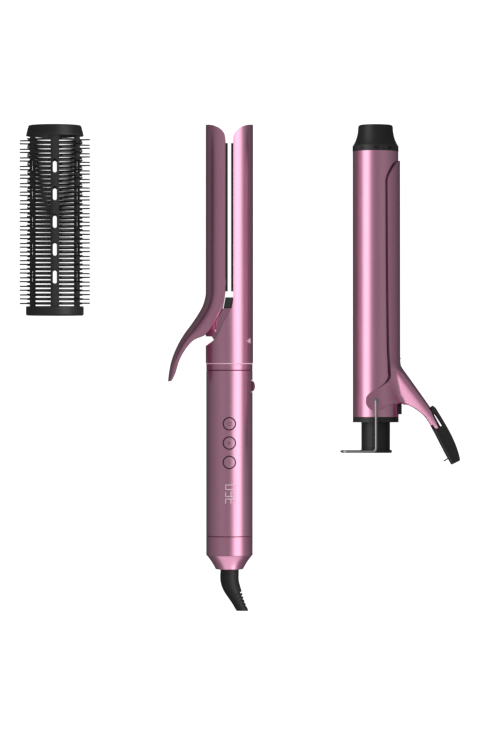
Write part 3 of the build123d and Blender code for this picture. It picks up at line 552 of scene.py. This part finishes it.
def curved(values, u):
    """A value between the middle two of four neighbours, on a curve that passes through them."""
    before, start, end, after = values
    rise = end - start
    leave = gentle_slope(start - before, rise)
    arrive = gentle_slope(rise, after - end)
    square = 3 * rise - 2 * leave - arrive
    cube = leave + arrive - 2 * rise
    return start + u * (leave + u * (square + u * cube))


def smooth_rows(rows):
    """The rows with in-between rows added along smooth curves."""
    made = []
    last = len(rows) - 1
    for i in range(last):
        four_rows = [rows[max(0, min(last, i + k))] for k in (-1, 0, 1, 2)]
        for step in range(ROW_STEPS):
            row = []
            for four_points in zip(*four_rows):
                row.append(tuple(curved(values, step / ROW_STEPS) for values in zip(*four_points)))
            made.append(row)
    return made + [list(rows[-1])]


def clip_sheet(build):
    """Both halves of the clip's outer surface, joined along the back line."""
    grid = []
    for back, waist, edge in smooth_rows(CLIP_ROWS):
        line = [between(back, waist, 1 - cos(pi / 2 * k / BACK_STEPS)) for k in range(BACK_STEPS)]
        line += [between(waist, edge, k / EDGE_STEPS) for k in range(EDGE_STEPS + 1)]
        upper = []
        lower = []
        for k, (x, y) in enumerate(line):
            height = clip_height(x, y) if k else 0.0
            upper.append(build.verts.new(clip_point(x, y, height)))
            lower.append(build.verts.new(clip_point(x, y, -height)) if k else upper[0])
        grid.append((upper, lower))
    for (up_a, low_a), (up_b, low_b) in zip(grid, grid[1:]):
        for k in range(len(up_a) - 1):
            build.faces.new((up_a[k], up_a[k + 1], up_b[k + 1], up_b[k]))
            build.faces.new((low_a[k], low_b[k], low_b[k + 1], low_a[k + 1]))


def cutter(centre, axis, radius, length):
    """A round bar for cutting a hole."""
    build = bmesh.new()
    bmesh.ops.create_cone(
        build, segments=40, radius1=radius, radius2=radius, depth=length, cap_ends=True,
    )
    made = bpy.data.meshes.new("cutter")
    build.to_mesh(made)
    build.free()
    bar_object = bpy.data.objects.new("cutter", made)
    scene.collection.objects.link(bar_object)
    bar_object.location = centre
    bar_object.rotation_euler = axis.to_track_quat("Z", "Y").to_euler()
    return bar_object


clip = new_piece("clip_pressing", clip_sheet, rose_long, "clip")
clip.data.materials.append(cut_edge_shade)
wall = clip.modifiers.new("wall", "SOLIDIFY")
wall.thickness = SHEET_WALL * MM
wall.offset = -1
# The rim faces take the dark crimson painted shade.
wall.material_offset_rim = 1
hole = clip.modifiers.new("pivot hole", "BOOLEAN")
hole.operation = "DIFFERENCE"
hole.solver = "EXACT"
pivot_bar = cutter(clip_pivot, clip_up, PIVOT_HOLE_R * MM, 50 * MM)
hole.object = pivot_bar
bpy.context.view_layer.update()
finished = bpy.data.meshes.new_from_object(clip.evaluated_get(bpy.context.evaluated_depsgraph_get()))
clip.modifiers.clear()
clip.data = finished
bpy.data.objects.remove(pivot_bar)
clip.data.set_sharp_from_angle(angle=radians(50))
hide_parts("clip_lever")

# A dark strip along the clip's free edge is painted shadow, standing for the shadow line between the
# sheet and the barrel.
EDGE_SHADOW_R = 0.5
EDGE_SHADOW_SUNK = 0.35
EDGE_SHADOW_FLATTENED = 0.8
EDGE_SHADOW_FADE = 12
EDGE_SHADOW_FADE_STEP = 0.032
EDGE_SHADOW_ROWS = CLIP_ROWS[1:14]


def clip_hem(build):
    """A dark strip of painted shadow along the sheet's free edge, on both halves, that thins out at
    the ear: it stands for the shadow line between the sheet and the barrel.
    """
    edge_line = [row[-1] for row in smooth_rows(EDGE_SHADOW_ROWS)]
    count = len(edge_line)
    for half in (1, -1):
        rings = []
        for i, (x, y) in enumerate(edge_line):
            centre = clip_point(x, y, (clip_height(x, y) - EDGE_SHADOW_SUNK) * half)
            (ax, ay), (bx, by) = edge_line[max(0, i - 1)], edge_line[min(count - 1, i + 1)]
            along = (Vector((bx - ax, 0, 0)) + (by - ay) * clip_along).normalized()
            side = along.cross(clip_up)
            radius = MM * (EDGE_SHADOW_R - EDGE_SHADOW_FADE_STEP * max(0, i - count + EDGE_SHADOW_FADE))
            ring = []
            for k in range(ROUND_SIDES):
                turn = 2 * pi * k / ROUND_SIDES
                out = cos(turn) * side + EDGE_SHADOW_FLATTENED * sin(turn) * clip_up
                ring.append(build.verts.new(centre + radius * out))
            rings.append(ring)
        bridge(build, rings)
        build.faces.new(rings[0])
        build.faces.new(rings[-1])


new_piece("clip_hem", clip_hem, edge_shadow_strip_paint, "clip")


# ---------------------------------------------------------------- floor and light
floor_mesh = bpy.data.meshes.new("floor")
floor_build = bmesh.new()
bmesh.ops.create_grid(floor_build, x_segments=1, y_segments=1, size=4.0)
floor_build.to_mesh(floor_mesh)
floor_build.free()
floor = bpy.data.objects.new("floor", floor_mesh)
scene.collection.objects.link(floor)
white = bpy.data.materials.new("white table")
white.use_nodes = True
table_top = white.node_tree.nodes["Principled BSDF"].inputs
table_top["Base Color"].default_value = (0.92, 0.92, 0.92, 1)
table_top["Roughness"].default_value = 0.9
table_top["Specular IOR Level"].default_value = 0.1
table_top["Emission Color"].default_value = (1, 1, 1, 1)
table_top["Emission Strength"].default_value = 1.0
finish_with(floor, white)
floor.location.z = -0.2 * MM
floor.visible_glossy = False
floor.visible_diffuse = False

world = bpy.data.worlds.new("studio")
scene.world = world
world.use_nodes = True
sky = world.node_tree
background = sky.nodes["Background"]
direction = node(sky, "ShaderNodeTexCoord")
split = node(sky, "ShaderNodeSeparateXYZ")
ramp = node(sky, "ShaderNodeValToRGB")
shift = node(sky, "ShaderNodeMapRange")
shift.inputs["From Min"].default_value = -1.0
sky.links.new(direction.outputs["Generated"], split.inputs["Vector"])
sky.links.new(split.outputs["Z"], shift.inputs["Value"])
sky.links.new(shift.outputs["Result"], ramp.inputs["Fac"])
sky.links.new(ramp.outputs["Color"], background.inputs["Color"])

# How bright the studio is from straight down (0) to straight up (1)
SKY = [(0, 0.06), (0.1, 0.09), (0.27, 0.14), (0.4, 0.205), (0.52, 0.225), (0.63, 0.26), (0.735, 0.30),
       (0.82, 0.335), (0.92, 0.355), (0.96, 0.33), (0.985, 0.27), (1.0, 0.22)]
stops = ramp.color_ramp.elements
stops[0].color = (SKY[0][1],) * 3 + (1,)
stops[1].color = (SKY[-1][1],) * 3 + (1,)
for position, level in SKY[1:-1]:
    stops.new(position).color = (level, level, level, 1)


def group(name, members):
    """A collection of the objects that one light shines on."""
    made = bpy.data.collections.new(name)
    for member in members:
        made.objects.link(member)
    return made


STRIP_LENGTH = 3.2
STRIP_DISTANCE = 0.9


def strip(name, around, angle, half_width, brightness, receivers):
    """A long soft strip light parallel to the tools, at an angle from straight up, in degrees."""
    data = bpy.data.lights.new(name, "AREA")
    data.shape = "RECTANGLE"
    data.size = 2 * STRIP_DISTANCE * tan(radians(half_width))
    data.size_y = STRIP_LENGTH
    data.energy = brightness * pi * data.size * data.size_y
    made = bpy.data.objects.new(name, data)
    scene.collection.objects.link(made)
    away = Vector((sin(radians(angle)), 0, cos(radians(angle))))
    made.location = Vector((around, 0, AXIS_HEIGHT)) + away * STRIP_DISTANCE
    made.rotation_euler = (0, radians(angle), 0)
    made.light_linking.receiver_collection = receivers


def on_bodies(*bodies):
    """Every visible object that rides on these bodies."""
    empties = [frame["bodies"][b] for b in bodies]
    return [o for o in bpy.data.objects if o.type == "MESH" and o.parent in empties]


def spot_panel(name, target, away, width, brightness, receivers):
    """A soft square panel that faces a point from some way off."""
    data = bpy.data.lights.new(name, "AREA")
    data.shape = "SQUARE"
    data.size = width
    data.energy = brightness * pi * width * width
    made = bpy.data.objects.new(name, data)
    scene.collection.objects.link(made)
    made.location = target + away
    made.rotation_euler = away.to_track_quat("Z", "Y").to_euler()
    made.light_linking.receiver_collection = receivers


curler_bodies = ("curling_barrel", "clip", "stand")
styler_bodies = [body for body in frame["bodies"] if body not in curler_bodies]
curler_side = group("lit from the left", on_bodies(*curler_bodies))
styler_side = group("lit from the right", on_bodies(*styler_bodies))
clip_only = group("lit on the clip", on_bodies("clip"))
tail_only = group("lit on the tail", [nodes["tail_cap"]])

# Where the axes of the styler and of the curling barrel run
STYLER_X = -0.0074
CURLER_X = 0.0949

# Each strip's angle, half width and brightness
RIGHT_STRIPS = ((41, 10, 1.05), (41, 19, 0.8), (40, 27, 0.52))
LEFT_STRIPS = ((-50, 13, 0.8), (-51, 24, 0.75))
for i, (angle, half_width, brightness) in enumerate(RIGHT_STRIPS):
    strip(f"right strip {i}", STYLER_X, angle, half_width, brightness, styler_side)
for i, (angle, half_width, brightness) in enumerate(LEFT_STRIPS):
    strip(f"left strip {i}", CURLER_X, angle, half_width, brightness, curler_side)

lever_middle = clip_pivot + Vector((0.022, 0.01, 0))
spot_panel("lever panel", lever_middle, Vector((-0.40, -0.50, 0.46)), 0.42, 0.17, clip_only)
cone_low, cone_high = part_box("tail_cap")
spot_panel("tail panel", (cone_low + cone_high) / 2, Vector((0, -0.6, 0.12)), 0.8, 0.75, tail_only)
